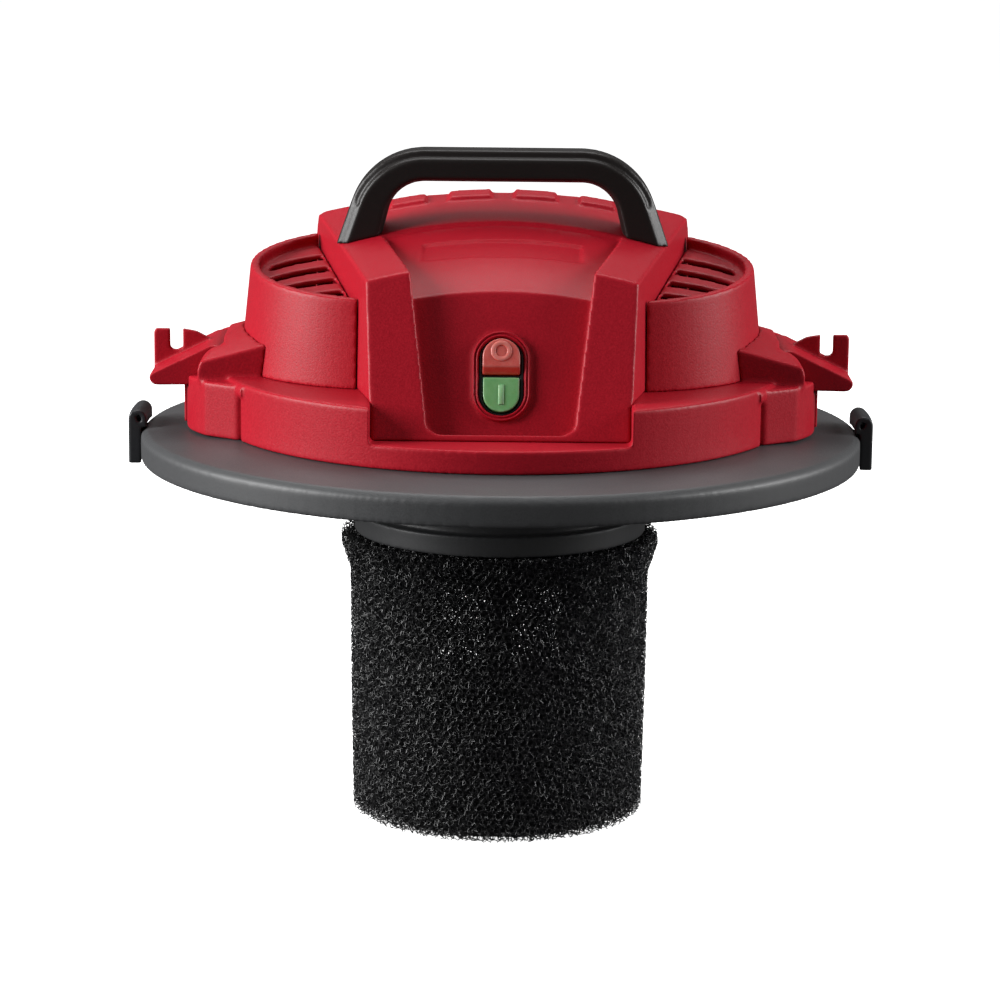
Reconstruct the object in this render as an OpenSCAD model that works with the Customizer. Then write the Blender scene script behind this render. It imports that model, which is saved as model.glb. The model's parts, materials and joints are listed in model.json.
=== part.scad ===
// Power head of a wet and dry shop vacuum: lid, motor housing, rocker latches,
// push buttons, motor and fan, float cage and foam sleeve.
// +Z is up, the switch faces -Y, and the foam sleeve stands on z = 0.

/* [Filter cage and foam] */
// Height of the foam sleeve, from the floor to its top edge
foam_h = 127.6; // [100:0.2:160]
// Thickness of the foam wall at its foot
foam_wall = 9.6; // [6:0.2:14]
// How far the foam's top edge flares beyond its foot
foam_flare = 5.6; // [0:0.2:8]
// Outer radius of the filter cage
cage_r = 55.7; // [46:0.1:64]
// Wall of the filter cage
cage_wall = 2.6; // [2:0.1:4]
// Height of the lower edge of the cage windows
window_z = 51; // [46:0.5:60]
// Height of the cage windows
window_h = 62; // [40:1:66]
// Radius of the float ball
float_r = 22; // [18:0.5:24]
// Radius of the air inlet that the float closes
seat_hole_r = 18; // [14:0.5:18]

/* [Collar] */
// Height from the foam's top edge to the lid's lower edge
neck_h = 33.4; // [28:0.2:44]
// Height of the collar's lower band
band_h = 9; // [6:0.5:12]
// How far the band stands out from the neck
band_lip = 4; // [2:0.5:6]
// Wall of the neck
neck_wall = 5.2; // [4:0.1:7]

/* [Lid] */
// Outer radius of the lid
lid_r = 160; // [156:1:200]
// Height of the lid from its lower edge to its top face
lid_h = 15; // [14:0.5:22]
// Wall of the lid
lid_wall = 3; // [2.4:0.1:4]
// Depth of the motor well below the lid's top face
well_depth = 10; // [8:0.5:12]
// Height of the tank gasket
gasket_h = 3; // [2:0.5:4]
// Length of a rim catch along the rim
catch_len = 27; // [20:1:40]

/* [Lower housing] */
// Radius of the red skirt
skirt_r = 125; // [120:1:150]
// Height of the skirt
skirt_h = 25.5; // [22:0.5:34]
// Wall of all red housings
wall = 2.6; // [2:0.1:3.2]
// Height of the low ledge in front of the switch panel
ledge_h = 10; // [8:0.5:14]
// Half width of the low ledge
ledge_half_w = 54.5; // [50:0.5:60]

/* [Vent housings] */
// Distance of each vent housing's axis from the centre
lobe_x = 46; // [40:0.5:50]
// Radius of a vent housing at its foot
lobe_r = 70; // [66:0.5:74]
// Height of a vent housing's rim above the shelf
lobe_h = 46; // [38:0.5:54]
// How much the radius shrinks from the foot to the rim
lobe_draft = 4.8; // [2:0.2:8]
// Forward tilt of the vent housings' rims
rim_tilt = 7; // [0:0.5:10]
// Depth of the slotted panel below the rim
vent_depth = 5; // [3:0.5:8]
// Distance between louvre slots
slot_pitch = 22; // [16:1:26]
// Width of a louvre slot
slot_w = 9.5; // [5:0.5:13]

/* [Top cover] */
// Half width of the top cover at its front edge
cover_half_w = 57.4; // [54:0.2:62]
// Widening of the top cover towards the rear
cover_wedge = 11.5; // [8:0.5:13]
// Backward lean of the switch panel
face_lean = 21.4; // [16:0.2:24]
// Height of the top cover above the shelf at the centre
cover_h = 66.5; // [60:0.5:80]
// Crown radius of the top cover
crown_r = 250; // [200:5:320]
// Rise of the top cover towards the rear
crown_slope = 8.3; // [6:0.1:10]
// Depth of the switch panel behind the pillars
panel_depth = 8; // [5:0.5:10]
// Slope of the panel's upper stretch
panel_slope = 17.7; // [15:0.1:20]
// Height of the grip blocks along the rear edge
block_h = 2; // [1:0.1:3]

/* [Switch] */
// Height of the switch above the shelf, along the panel
switch_up = 12.9; // [12:0.1:18]
// Width of the black switch frame
frame_w = 19; // [18:0.2:24]
// Height of the black switch frame
frame_h = 33.4; // [32:0.2:44]
// Travel of each push button
button_travel = 3; // [1.5:0.5:4]
// Gap around each push button
button_gap = 0.4; // [0.3:0.05:0.6]
// Rim of the raised collar around the switch frame
collar_rim = 2.6; // [1.5:0.1:4]

/* [Handle] */
// Height of the handle's top above the top cover
handle_rise = 29.8; // [26:0.2:44]
// Thickness of the grip bar
grip_t = 13.7; // [10:0.1:18]
// Front to back depth of the handle
grip_d = 24; // [18:0.5:32]
// Half distance between the centres of the corner bends
bend_x = 34.5; // [30:0.5:40]
// Radius of the outer corner bend
bend_r = 34; // [30:0.5:38]
// Radius of the inner corner bend
inner_bend_r = 16.2; // [12:0.1:20]
// Depth of the channel in the handle's outer edges
groove_d = 1.2; // [0.4:0.1:2]
// Width of the channel in the handle's outer edges
groove_w = 2.2; // [1.5:0.1:3]

/* [Latches] */
// Width of a latch wing
wing_w = 48; // [40:1:56]
// Reach of a latch wing beyond the skirt
wing_reach = 29.5; // [26:0.5:34]
// Radius of a latch's hinge barrel
barrel_r = 8.5; // [7.5:0.5:9]
// Radius of an ear's rounded nose
ear_r = 10.5; // [9.5:0.5:12]
// Radius of a latch pin
pin_r = 2; // [1.5:0.1:2.5]
// Width of a latch's locking web
web_w = 28; // [20:1:32]
// Thickness of the notched plate on a latch
plate_t = 3; // [2:0.5:4]
// Gap between a latch and the housing
latch_gap = 0.7; // [0.5:0.1:1]
// Width of each latch ear
ear_w = 15; // [10:0.5:17]

/* [Motor and fan] */
// Radius of the fan housing
fan_r = 62; // [56:0.5:62]
// Height of the fan housing
fan_h = 24; // [20:0.5:28]
// Height of the motor gasket
motor_gasket_h = 3; // [2:0.5:4]
// Radius of the motor shaft
shaft_r = 4; // [3:0.1:5]
// Height of the lamination stack
stack_h = 16; // [12:0.5:20]
// Radius of the rotor
rotor_r = 20.4; // [18:0.1:22]
// Air gap between the rotor and the stator
air_gap = 0.6; // [0.4:0.05:1]
// Number of fan blades
blades = 8; // [5:1:12]

/* [Ports] */
// Bore radius of the blow port
port_r = 16; // [14:0.5:17]
// Wall of the blow port
port_wall = 3; // [2:0.5:3.5]
// Bore radius of the cord inlet
cord_r = 3.75; // [3:0.25:4.5]

/* [Fits] */
// Radial play of a running shaft or pin
play = 0.05; // [0.02:0.01:0.08]
// Sliding clearance between separate bodies
slide_gap = 0.35; // [0.3:0.05:0.5]
// Parting gap between housing shells
parting = 0.5; // [0.3:0.1:0.8]
// Shank radius of the housing screws
screw_r = 1.6; // [1.2:0.1:2]

/* [Hidden] */
$fn = 96;
eps = 0.01;
big = 400;

// heights
band_z = foam_h + slide_gap;
rim_z = foam_h + neck_h;
lid_top = rim_z + lid_h;
well_z = lid_top - well_depth;
shelf_z = lid_top + skirt_h;
ledge_z = lid_top + ledge_h;
cage_top = band_z + band_h + 13;
rim_h = lid_h - 2.5;

// radii of the collar, from the cage outwards
foam_in = cage_r + slide_gap;
foam_out = foam_in + foam_wall;
neck_in = cage_r + 0.3;
neck_r = neck_in + neck_wall;
boss_ring_r = fan_r + 3;
collar_screw_r = max(neck_r + 3.8, boss_ring_r);
flange_r = max(neck_r + 7, collar_screw_r + 3.2);
well_r = flange_r + 1.5;
seat_r = cage_r - cage_wall;

// angles of the lower housing's screws, clear of the front ledge
housing_angles = [35, 90, 145, 215, 325];
housing_screw_r = skirt_r - 13;

// face frame of the front pillars and the switch panel
front_y = -skirt_r + 27;
cover_top_z = shelf_z + cover_h;
fold_z = shelf_z + 48;
fold_y = front_y + (fold_z - shelf_z) * tan(face_lean);
panel_fold_y = fold_y + 3;
panel_fold_z = cover_top_z + panel_fold_y * tan(panel_slope);
rear_edge_y = 42;
rear_edge_z = cover_top_z + rear_edge_y * tan(crown_slope);
rear_slope = 34;
rear_y = skirt_r - 29;
block_front_y = 29;

// latches
pin_x = skirt_r + 0.5;
pin_z = shelf_z + 3;
ear_x = skirt_r - 3.5;
ear_z = shelf_z + 1.5;
tip_x = skirt_r + wing_reach;
web_x = skirt_r + 11.8;
web_t = 3.2;
column_x = web_x + web_t - 1.4;
column_y = 42.5;
// where the grooves between the skirt and its column lie, round the motor's axis
column_groove_angle = 25.6;
// height of the lip at the top of each column
cap_h = 5.5;
ear_y = wing_w / 2 + latch_gap;
ear_end = ear_y + ear_w;
// wall left in front of a latch pin, whose hole is open at the rear only
pin_cover = 2.5;
pin_len = 2 * ear_end - pin_cover;

// motor, stacked up from the bottom of the well
motor_z = well_z + motor_gasket_h;
fan_top = motor_z + fan_h;
bearing_r = 11;
bearing_h = 7;
stack_z = fan_top + 13.5;
stack_top = stack_z + stack_h;
comm_z = stack_top + 4;
comm_h = 9;
brush_z = comm_z + comm_h / 2;
top_bearing_z = comm_z + comm_h + 2;
top_bearing_h = 6;
top_bearing_r = 9.5;
cooling_z = top_bearing_z + top_bearing_h + 3;
cooling_h = 6;
shaft_bottom = motor_z + 4;
shaft_top = cooling_z + cooling_h + 1.5;
stator_r = rotor_r + air_gap;

// exhaust
port_z = shelf_z + port_r + port_wall + 1.5;
duct_y = fan_r + 11;
port_end_y = skirt_r - 17;
duct_half_w = port_r + 4;

red = [0.72, 0.07, 0.11];
charcoal = [0.24, 0.24, 0.25];
black = [0.07, 0.07, 0.07];
steel = [0.7, 0.7, 0.72];
copper = [0.75, 0.42, 0.2];

// Points of an arc about (cx, cy) from angle a0 to a1
function arc(cx, cy, r, a0, a1, n = 10) =
    [for (i = [0:n]) [cx + r * cos(a0 + (a1 - a0) * i / n), cy + r * sin(a0 + (a1 - a0) * i / n)]];

// Mirrors its children to the left when s is -1
module side(s) {
    if (s > 0) {
        children();
    } else {
        mirror([1, 0, 0]) children();
    }
}

module tube(r_out, r_in, h) {
    difference() {
        cylinder(r = r_out, h = h);
        translate([0, 0, -1]) cylinder(r = r_in, h = h + 2);
    }
}

module ring_of(r, angles) {
    for (a = angles) {
        rotate([0, 0, a]) translate([r, 0, 0]) children();
    }
}

// A profile in X and Z, extruded along Y and centred on y = 0
module along_y(width) {
    translate([0, width / 2, 0]) rotate([90, 0, 0]) linear_extrude(height = width) children();
}

// A pan-head screw with its head's underside at z = 0 and its shank pointing up
module screw(r, length, head = 2) {
    translate([0, 0, -eps]) cylinder(r = r, h = length);
    difference() {
        translate([0, 0, -head]) cylinder(r = 1.9 * r, h = head);
        translate([-0.4, -1.2 * r, -head - 1]) cube([0.8, 2.4 * r, 1.8]);
        translate([-1.2 * r, -0.4, -head - 1]) cube([2.4 * r, 0.8, 1.8]);
    }
}

// A stadium of the given overall width and height
module stadium(w, h) {
    for (s = [-1, 1]) {
        translate([0, s * (h - w) / 2]) circle(d = w);
    }
    square([w, h - w], center = true);
}

/* ---- filter ---- */

module foam_filter() {
    color(black) rotate_extrude() polygon([[foam_in, 0], [foam_out, 0], [foam_out + 1.2, foam_h * 0.47],
        [foam_out + 1.6, foam_h * 0.86], [foam_out + foam_flare, foam_h * 0.955],
        [foam_out + foam_flare, foam_h], [foam_in, foam_h]]);
}

module filter_cage() {
    window_w = 27.2;
    color(charcoal) difference() {
        union() {
            tube(cage_r, seat_r, cage_top);
            cylinder(r = seat_r + eps, h = 3);
            translate([0, 0, cage_top - 3]) tube(seat_r + eps, seat_hole_r + 4, 3);
        }
        for (quadrant = [0:3], s = [-1, 1]) {
            rotate([0, 0, 90 * quadrant + s * 19.4 - window_w / 2]) translate([0, 0, window_z])
                rotate_extrude(angle = window_w) translate([seat_r - 2, 0]) square([cage_wall + 4, window_h]);
        }
        ring_of(30, [0:60:300]) translate([0, 0, -1]) cylinder(r = 4, h = 5);
    }
}

module float_ball() {
    color([0.85, 0.85, 0.82]) translate([0, 0, 3 + slide_gap + float_r]) sphere(r = float_r);
}

module float_seat_seal() {
    color(black) translate([0, 0, cage_top - 3]) tube(seat_hole_r + 4, seat_hole_r, 3);
}

module filter_collar() {
    color(charcoal) difference() {
        union() {
            translate([0, 0, band_z]) tube(neck_r + band_lip, neck_in, band_h);
            translate([0, 0, band_z]) tube(neck_r, neck_in, well_z - lid_wall - band_z);
            translate([0, 0, well_z - lid_wall - 3]) tube(flange_r, neck_in, 3);
        }
        ring_of(collar_screw_r, [0:90:270]) translate([0, 0, well_z - lid_wall - 4])
            cylinder(r = screw_r + 0.2, h = 5);
    }
}

module collar_screws() {
    color(steel) ring_of(collar_screw_r, [0:90:270]) translate([0, 0, well_z - lid_wall - 3])
        screw(screw_r, 8);
}

/* ---- lid ---- */

module lid() {
    under = lid_top - 5.5;
    channel_in = lid_r - 13;
    color(charcoal) difference() {
        union() {
            rotate_extrude() polygon([[24, well_z - lid_wall], [well_r + lid_wall, well_z - lid_wall],
                [well_r + lid_wall, lid_top - lid_wall], [channel_in - 2.5, lid_top - lid_wall - 1],
                [channel_in - 2.5, rim_z + 3], [channel_in, rim_z + 3], [channel_in, under],
                [lid_r - lid_wall, under], [lid_r - lid_wall, rim_z], [lid_r, rim_z],
                [lid_r, rim_z + rim_h - 2], [lid_r - 2.5, rim_z + rim_h + 0.3], [skirt_r, lid_top],
                [well_r, lid_top], [well_r, well_z], [24, well_z]]);
            for (a = [15:30:345]) {
                rotate([0, 0, a]) translate([well_r + lid_wall - eps, -1, rim_z + 5])
                    cube([channel_in - 2.4 - well_r - lid_wall, 2, lid_h - lid_wall - 5.5]);
            }
            ring_of(collar_screw_r, [0:90:270]) translate([0, 0, well_z - eps]) cylinder(r = 3, h = 5);
            ring_of(boss_ring_r, [45:90:315]) translate([0, 0, well_z - lid_wall])
                cylinder(r = 4, h = lid_wall + motor_gasket_h);
            for (s = [-1, 1]) {
                side(s) latch_lug();
            }
        }
        ring_of(collar_screw_r, [0:90:270]) translate([0, 0, well_z - 4]) cylinder(r = screw_r, h = 8);
        ring_of(boss_ring_r, [45:90:315]) translate([0, 0, well_z - 2]) cylinder(r = screw_r, h = 9);
        ring_of(housing_screw_r, housing_angles) translate([0, 0, lid_top - lid_wall - 2])
            cylinder(r = screw_r + 0.2, h = 9);
        ring_of(housing_screw_r, housing_angles) translate([0, 0, rim_z]) cylinder(r = 2 * screw_r + 0.4,
            h = lid_h - lid_wall);
    }
}

// The hook on the lid that a latch's claw grips
module latch_lug() {
    lug_x = web_x - 0.9;
    along_y(14) polygon([[skirt_r + 2, lid_top - 1], [lug_x - 3.3, lid_top - 1], [lug_x - 3.3, lid_top + 5.6],
        [lug_x, lid_top + 8.4], [lug_x, lid_top + 11], [skirt_r + 2, lid_top + 11]]);
}

module tank_gasket() {
    color(black) translate([0, 0, lid_top - 5.5 - gasket_h]) tube(lid_r - lid_wall - 0.2, lid_r - 12.8, gasket_h);
}

module rim_catch(s) {
    span = 2 * asin(catch_len / 2 / lid_r);
    strap_t = 5.5;
    roll_r = 4;
    roll_in = 1.7;
    roll_x = lid_r + strap_t - roll_r;
    roll_z = rim_z + 17;
    hook_z = rim_z + rim_h + 0.7;
    color(black) side(s) rotate([0, 0, -span / 2]) rotate_extrude(angle = span, $fn = 256)
        polygon(concat([[lid_r + eps, rim_z - 3], [lid_r + strap_t, rim_z - 3]],
            arc(roll_x, roll_z, roll_r, 0, 180, 14),
            [[roll_x - roll_r, hook_z], [roll_x - roll_in, hook_z]],
            arc(roll_x, roll_z, roll_in, 180, 60, 8),
            [[lid_r + eps, hook_z]]));
}

/* ---- lower housing ---- */

// Plan of the skirt's column on the right-hand side
module column_plan() {
    corner_x = skirt_r + 3.5;
    start_x = skirt_r - 10.6;
    start_y = column_y + 10;
    polygon(concat([[start_x - 6, -start_y], [start_x, -start_y], [corner_x, -column_y]],
        arc(column_x - 42, -web_w / 2 - 0.6, 42, -31, 0, 6),
        arc(column_x - 42, web_w / 2 + 0.6, 42, 0, 31, 6),
        [[corner_x, column_y], [start_x, start_y], [start_x - 6, start_y]]));
}

// Outside of the lower housing, without the ears
module skirt_solid(t) {
    difference() {
        union() {
            translate([0, 0, lid_top - (t > 0 ? 1 : 0)]) cylinder(r = skirt_r - t, h = skirt_h - t + (t > 0 ? 1 : 0));
            if (t == 0) {
                for (s = [-1, 1]) {
                    side(s) translate([0, 0, lid_top]) linear_extrude(height = skirt_h - 1.5) column_plan();
                }
            }
        }
        translate([-ledge_half_w - t, -big / 2, ledge_z - t]) cube([2 * (ledge_half_w + t), big / 2 - 62 + t, 60]);
    }
}

// The ears of one latch and the tongue that covers its barrel, under one crowned roof
module ears_and_tongue() {
    root_x = lobe_x + 40;
    foot_z = shelf_z - 1.6;
    tongue_z = pin_z + barrel_r + 1;
    roof_x = ear_x - 7.5;
    nose_r = 1.3;
    crest = [[roof_x, tongue_z + 6], [root_x, tongue_z + 14]];
    intersection() {
        union() {
            for (s = [-1, 1]) {
                translate([0, s * (ear_y + ear_w / 2), 0]) along_y(ear_w) {
                    translate([ear_x, ear_z]) circle(r = ear_r);
                    polygon(concat([[root_x, foot_z], [ear_x, foot_z], [ear_x, ear_z + ear_r]], crest));
                }
            }
            along_y(2 * ear_y + 4) polygon(concat([[root_x, tongue_z], [ear_x, tongue_z]],
                arc(ear_x - 0.4, tongue_z + nose_r, nose_r, -90, 50, 6), crest));
        }
        latch_roof(roof_x, tongue_z + 5.5);
    }
}

// Everything below a roof that is crowned from front to back and falls outwards through (x, z)
module latch_roof(x, z) {
    roof_r = 121;
    roof_fall = 15;
    translate([x, 0, z]) rotate([0, roof_fall, 0]) translate([-big / 4, 0, -roof_r]) rotate([0, 90, 0])
        cylinder(r = roof_r, h = big / 2, $fn = 180);
}

// The lip at a column's top, over the grooves beside it
module column_caps() {
    for (t = [-1, 1]) {
        rotate([0, 0, t * (column_groove_angle + 1)]) translate([skirt_r - 4, -3, shelf_z - cap_h])
            cube([5.4, 6, cap_h - 1.5]);
    }
}

// Plan of the narrow grooves between the skirt and its column
module column_grooves() {
    slit_w = 2.4;
    slit_deep = 1.9;
    for (t = [-1, 1]) {
        rotate(t * column_groove_angle) translate([skirt_r - slit_deep, -slit_w / 2]) square([8, slit_w]);
    }
}

// Room for one latch: its barrel, its wing, its web and its pin
module latch_pocket() {
    floor_z = pin_z - barrel_r - latch_gap;
    translate([pin_x, 0, pin_z]) rotate([90, 0, 0])
        cylinder(r = barrel_r + latch_gap, h = 2 * ear_y, center = true);
    translate([pin_x, -ear_y, floor_z - 0.5]) cube([60, 2 * ear_y, 60]);
    translate([skirt_r + 1, -web_w / 2 - latch_gap, lid_top - 1]) cube([60, web_w + 2 * latch_gap, 60]);
    translate([pin_x, pin_cover - ear_end, pin_z]) rotate([-90, 0, 0])
        cylinder(r = pin_r + play, h = pin_len + 1);
}

module lower_housing() {
    color(red) difference() {
        union() {
            difference() {
                skirt_solid(0);
                skirt_solid(wall);
                translate([0, 0, lid_top]) cylinder(r = 70, h = 60);
            }
            ring_of(housing_screw_r, housing_angles) translate([0, 0, lid_top]) cylinder(r = 4.5, h = skirt_h - 1);
            for (s = [-1, 1]) {
                side(s) ears_and_tongue();
                side(s) column_caps();
            }
        }
        for (s = [-1, 1]) {
            side(s) latch_pocket();
            side(s) lobe(0, 90);
            side(s) translate([0, 0, lid_top - 1]) linear_extrude(height = skirt_h - cap_h) column_grooves();
        }
        ring_of(housing_screw_r, housing_angles) translate([0, 0, lid_top - 1]) cylinder(r = screw_r, h = 15);
        for (p = cover_screw_places) {
            translate([p[0], p[1], lid_top - 1]) cylinder(r = screw_r + 0.2, h = 60);
        }
        translate([-duct_half_w - 0.5, 0, shelf_z - 20]) cube([2 * duct_half_w + 1, duct_y + 0.5, 30]);
    }
}

module lower_housing_screws() {
    color(steel) ring_of(housing_screw_r, housing_angles) translate([0, 0, lid_top - lid_wall])
        screw(screw_r, 15);
}

/* ---- vent housings ---- */

// Solid cone of one vent housing from the shelf up, shrunk by t
module lobe(t, h) {
    slope = lobe_draft / lobe_h;
    translate([lobe_x, 0, shelf_z]) cylinder(r1 = lobe_r - t, r2 = lobe_r - t - slope * h, h = h);
}

// Everything above the tilted rim plane, lowered by d
module above_rim(d) {
    translate([0, 0, shelf_z + lobe_h - d]) rotate([rim_tilt, 0, 0]) translate([-big, -big, 0])
        cube([2 * big, 2 * big, big]);
}

module vent_slots() {
    arc_r = lobe_r - 6.5 + slot_w / 2;
    slot_h = 70;
    intersection() {
        lobe(lobe_draft + 3.5, 90);
        for (k = [0:4]) {
            translate([lobe_x, -5 - slot_pitch * k, shelf_z + 10]) difference() {
                cylinder(r = arc_r, h = slot_h);
                translate([0, -slot_w, -1]) cylinder(r = arc_r, h = slot_h + 2);
            }
        }
        translate([lobe_x, -lobe_r, shelf_z]) cube([lobe_r, 2 * lobe_r - 16, 90]);
        mirror([1, 0, 0]) difference() {
            translate([-big / 2, -big / 2, shelf_z]) cube([big / 2, big, 90]);
            cover_sides(-1.4);
        }
    }
}

module vent_housing(s) {
    color(red) side(s) difference() {
        lobe(0, lobe_h + 20);
        above_rim(0);
        intersection() {
            lobe(4, lobe_h + 20);
            above_rim(vent_depth);
        }
        difference() {
            translate([0, 0, -eps]) lobe(wall, lobe_h + 20);
            above_rim(vent_depth + wall);
        }
        vent_slots();
        cover_block(-parting);
    }
}

/* ---- top cover ---- */

// A frame whose Z points out of the pillar faces and whose Y runs up them
module on_face() {
    translate([0, front_y, shelf_z]) rotate([90 - face_lean, 0, 0]) children();
}

// Space between the top cover's two outer side planes, inset by t
module cover_sides(t) {
    intersection() {
        side(1) side_plane(cover_half_w - t, fold_y, fold_z, -1.8);
        side(-1) side_plane(cover_half_w - t, fold_y, fold_z, -1.8);
    }
}

// Everything inwards of a nearly upright plane through (x, y, z)
module side_plane(x, y, z, draft) {
    translate([x, y, z]) rotate([0, 0, -cover_wedge]) rotate([0, draft, 0])
        translate([-big, -big, -big]) cube([big, 2 * big, 2 * big]);
}

// Everything below a crowned surface that rises along +Y from (y, z)
module crown(y, z, slope, r) {
    translate([0, y, z]) rotate([slope, 0, 0]) translate([0, -big / 2, -crown_r]) rotate([-90, 0, 0])
        cylinder(r = r, h = big, $fn = 180);
}

// Solid block of the top cover before the panel is sunk, inset by t
module cover_block(t) {
    intersection() {
        on_face() translate([-big, -big, -big - t]) cube([2 * big, 2 * big, big]);
        cover_sides(t);
        crown(0, cover_top_z, crown_slope, crown_r - t);
        translate([0, rear_edge_y, rear_edge_z]) rotate([-rear_slope, 0, 0])
            translate([-big, -big, -big - t]) cube([2 * big, 2 * big, big]);
        translate([0, rear_y, shelf_z]) rotate([face_lean - 90, 0, 0])
            translate([-big, -big, -big - t]) cube([2 * big, 2 * big, big]);
        translate([0, 0, ledge_z]) cylinder(r1 = skirt_r - 1 - t, r2 = skirt_r - 31 - t, h = 100);
    }
}

// Space between the pillars that the panel is sunk into, grown by t
module panel_window(t) {
    x_in = 38 + t;
    sill = -13.5;
    corner_r = 9;
    corner_x = 24;
    intersection() {
        side(1) side_plane(x_in, fold_y, fold_z, 2.6);
        side(-1) side_plane(x_in, fold_y, fold_z, 2.6);
        on_face() translate([0, 0, -60]) linear_extrude(height = 160) union() {
            translate([-big / 2, sill + corner_r - t]) square([big, big]);
            translate([-corner_x - t, sill - t]) square([2 * (corner_x + t), 2 * corner_r]);
            for (s = [-1, 1]) {
                translate([s * corner_x, sill + corner_r]) circle(r = corner_r + t);
            }
        }
    }
}

// Body of the sunken panel: its face and its crowned upper stretch, inset by t
module panel_core(t) {
    intersection() {
        on_face() translate([-big, -big, -big - panel_depth - t]) cube([2 * big, 2 * big, big]);
        crown(panel_fold_y, panel_fold_z, panel_slope, crown_r - t);
    }
}

module cover_outside(t) {
    difference() {
        cover_block(t);
        difference() {
            panel_window(t);
            panel_core(t);
        }
    }
}

// Grip blocks along the rear edge of the crown
module grip_blocks() {
    intersection() {
        crown(0, cover_top_z, crown_slope, crown_r + block_h);
        union() {
            for (s = [-1, 1]) {
                side(s) translate([5.2, block_front_y, shelf_z + 50]) cube([19.2, 12, 50]);
                side(s) translate([34.6, block_front_y, shelf_z + 50]) cube([16, 12, 50]);
            }
        }
    }
}

cover_screw_places = [[-45, front_y + 11], [45, front_y + 11], [-56, 64], [56, 64]];
handle_screw_places = [[-62.5, -6], [62.5, -6], [-62.5, 6], [62.5, 6]];

module on_switch() {
    on_face() translate([0, switch_up, -panel_depth]) children();
}

// Raised collar around the switch frame: two low ridges with a valley between them
module switch_collar() {
    rise = 0.8;
    valley = 0.4;
    ridge = collar_rim / 3;
    difference() {
        linear_extrude(height = rise) stadium(frame_w + 2 * collar_rim, frame_h + 2 * collar_rim);
        translate([0, 0, valley]) linear_extrude(height = rise) difference() {
            stadium(frame_w + 4 * ridge, frame_h + 4 * ridge);
            stadium(frame_w + 2 * ridge, frame_h + 2 * ridge);
        }
    }
}

module top_cover() {
    label_w = 69.5;
    label_d = 16;
    label_deep = 1;
    color(red) difference() {
        union() {
            difference() {
                cover_outside(0);
                difference() {
                    translate([0, 0, -eps]) cover_outside(wall);
                    translate([-big / 2, -big / 2, 0]) cube([big, big, ledge_z - 1]);
                }
            }
            intersection() {
                cover_block(0);
                union() {
                    for (p = cover_screw_places) {
                        translate([p[0], p[1], p[1] < 0 ? ledge_z : shelf_z]) cylinder(r = 4.2, h = cover_h);
                    }
                    for (p = handle_screw_places) {
                        translate([p[0], p[1], cover_top_z - 20]) cylinder(r = 4.5, h = 20);
                    }
                }
            }
            grip_blocks();
            on_switch() switch_collar();
        }
        skirt_solid(0);
        for (s = [-1, 1]) {
            side(s) translate([50, -40, shelf_z + 8]) cube([60, 80, 26]);
        }
        for (p = cover_screw_places) {
            translate([p[0], p[1], ledge_z - 1]) cylinder(r = screw_r, h = 27);
        }
        for (p = handle_screw_places) {
            translate([p[0], p[1], cover_top_z - 25]) cylinder(r = screw_r + 0.2, h = 40);
        }
        on_switch() translate([0, 0, -wall - 8]) linear_extrude(height = 20) stadium(frame_w, frame_h);
        difference() {
            translate([-label_w / 2, -39, shelf_z + 20]) cube([label_w, label_d, 60]);
            crown(panel_fold_y, panel_fold_z, panel_slope, crown_r - label_deep);
        }
        translate([0, duct_y, port_z]) rotate([-90, 0, 0]) cylinder(r = port_r + port_wall, h = 60);
        translate([48, duct_y, shelf_z + 13]) rotate([-90, 0, 0]) cylinder(r = cord_r + 2.5, h = 60);
    }
}

module cover_screws() {
    color(steel) for (p = cover_screw_places) {
        translate([p[0], p[1], (p[1] < 0 ? ledge_z : shelf_z) - wall]) screw(screw_r, 13);
    }
}

/* ---- handle ---- */

// Half of the handle's outline: down the leg, round the bend, to the middle
function handle_edge(top_z, r, splay, foot_z) = concat(
    [[bend_x + r * cos(splay) + (top_z - r + r * sin(splay) - foot_z) * tan(splay), foot_z]],
    arc(bend_x, top_z - r, r, splay, 90, 14));

module handle_outline(outer_inset, inner_inset) {
    top_z = cover_top_z + handle_rise;
    foot_z = cover_top_z - 30;
    outer = handle_edge(top_z - outer_inset, bend_r - outer_inset, 19, foot_z);
    inner = handle_edge(top_z - grip_t + inner_inset, inner_bend_r + inner_inset, 14, foot_z);
    difference() {
        polygon(concat(outer, [for (i = [len(outer) - 1:-1:0]) [-outer[i][0], outer[i][1]]]));
        polygon(concat(inner, [for (i = [len(inner) - 1:-1:0]) [-inner[i][0], inner[i][1]]]));
    }
}

// The channel sunk in the handle's outer edges, with a drop-shaped end on each leg
module handle_channel() {
    channel_z = cover_top_z + 7;
    drop_r = 1.9;
    drop_x = bend_x + bend_r * cos(19) - 1.9;
    for (s = [-1, 1]) {
        translate([0, s * (grip_d / 2 - 2), 0]) intersection() {
            along_y(groove_w) difference() {
                handle_outline(-1, 1);
                handle_outline(2 + groove_d, 0);
            }
            translate([-big / 2, -big / 2, channel_z]) cube([big, big, big]);
        }
        for (x = [-drop_x, drop_x]) {
            translate([x, s * grip_d / 2, channel_z]) rotate([90, 0, 0])
                cylinder(r = drop_r, h = 5, center = true);
        }
    }
}

module handle() {
    bevel = 4;
    inner_bevel = 1.5;
    layers = 4;
    color(black) difference() {
        for (i = [0:layers]) {
            along_y(grip_d - 2 * bevel * i / layers)
                handle_outline(bevel * (1 - i / layers), inner_bevel * (1 - i / layers));
        }
        handle_channel();
        crown(0, cover_top_z, crown_slope, crown_r);
        for (p = handle_screw_places) {
            translate([p[0], p[1], cover_top_z - 25]) cylinder(r = screw_r, h = 33);
        }
    }
}

module handle_screws() {
    color(steel) for (p = handle_screw_places) {
        translate([p[0], p[1], cover_top_z - 20]) screw(screw_r, 26);
    }
}

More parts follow.
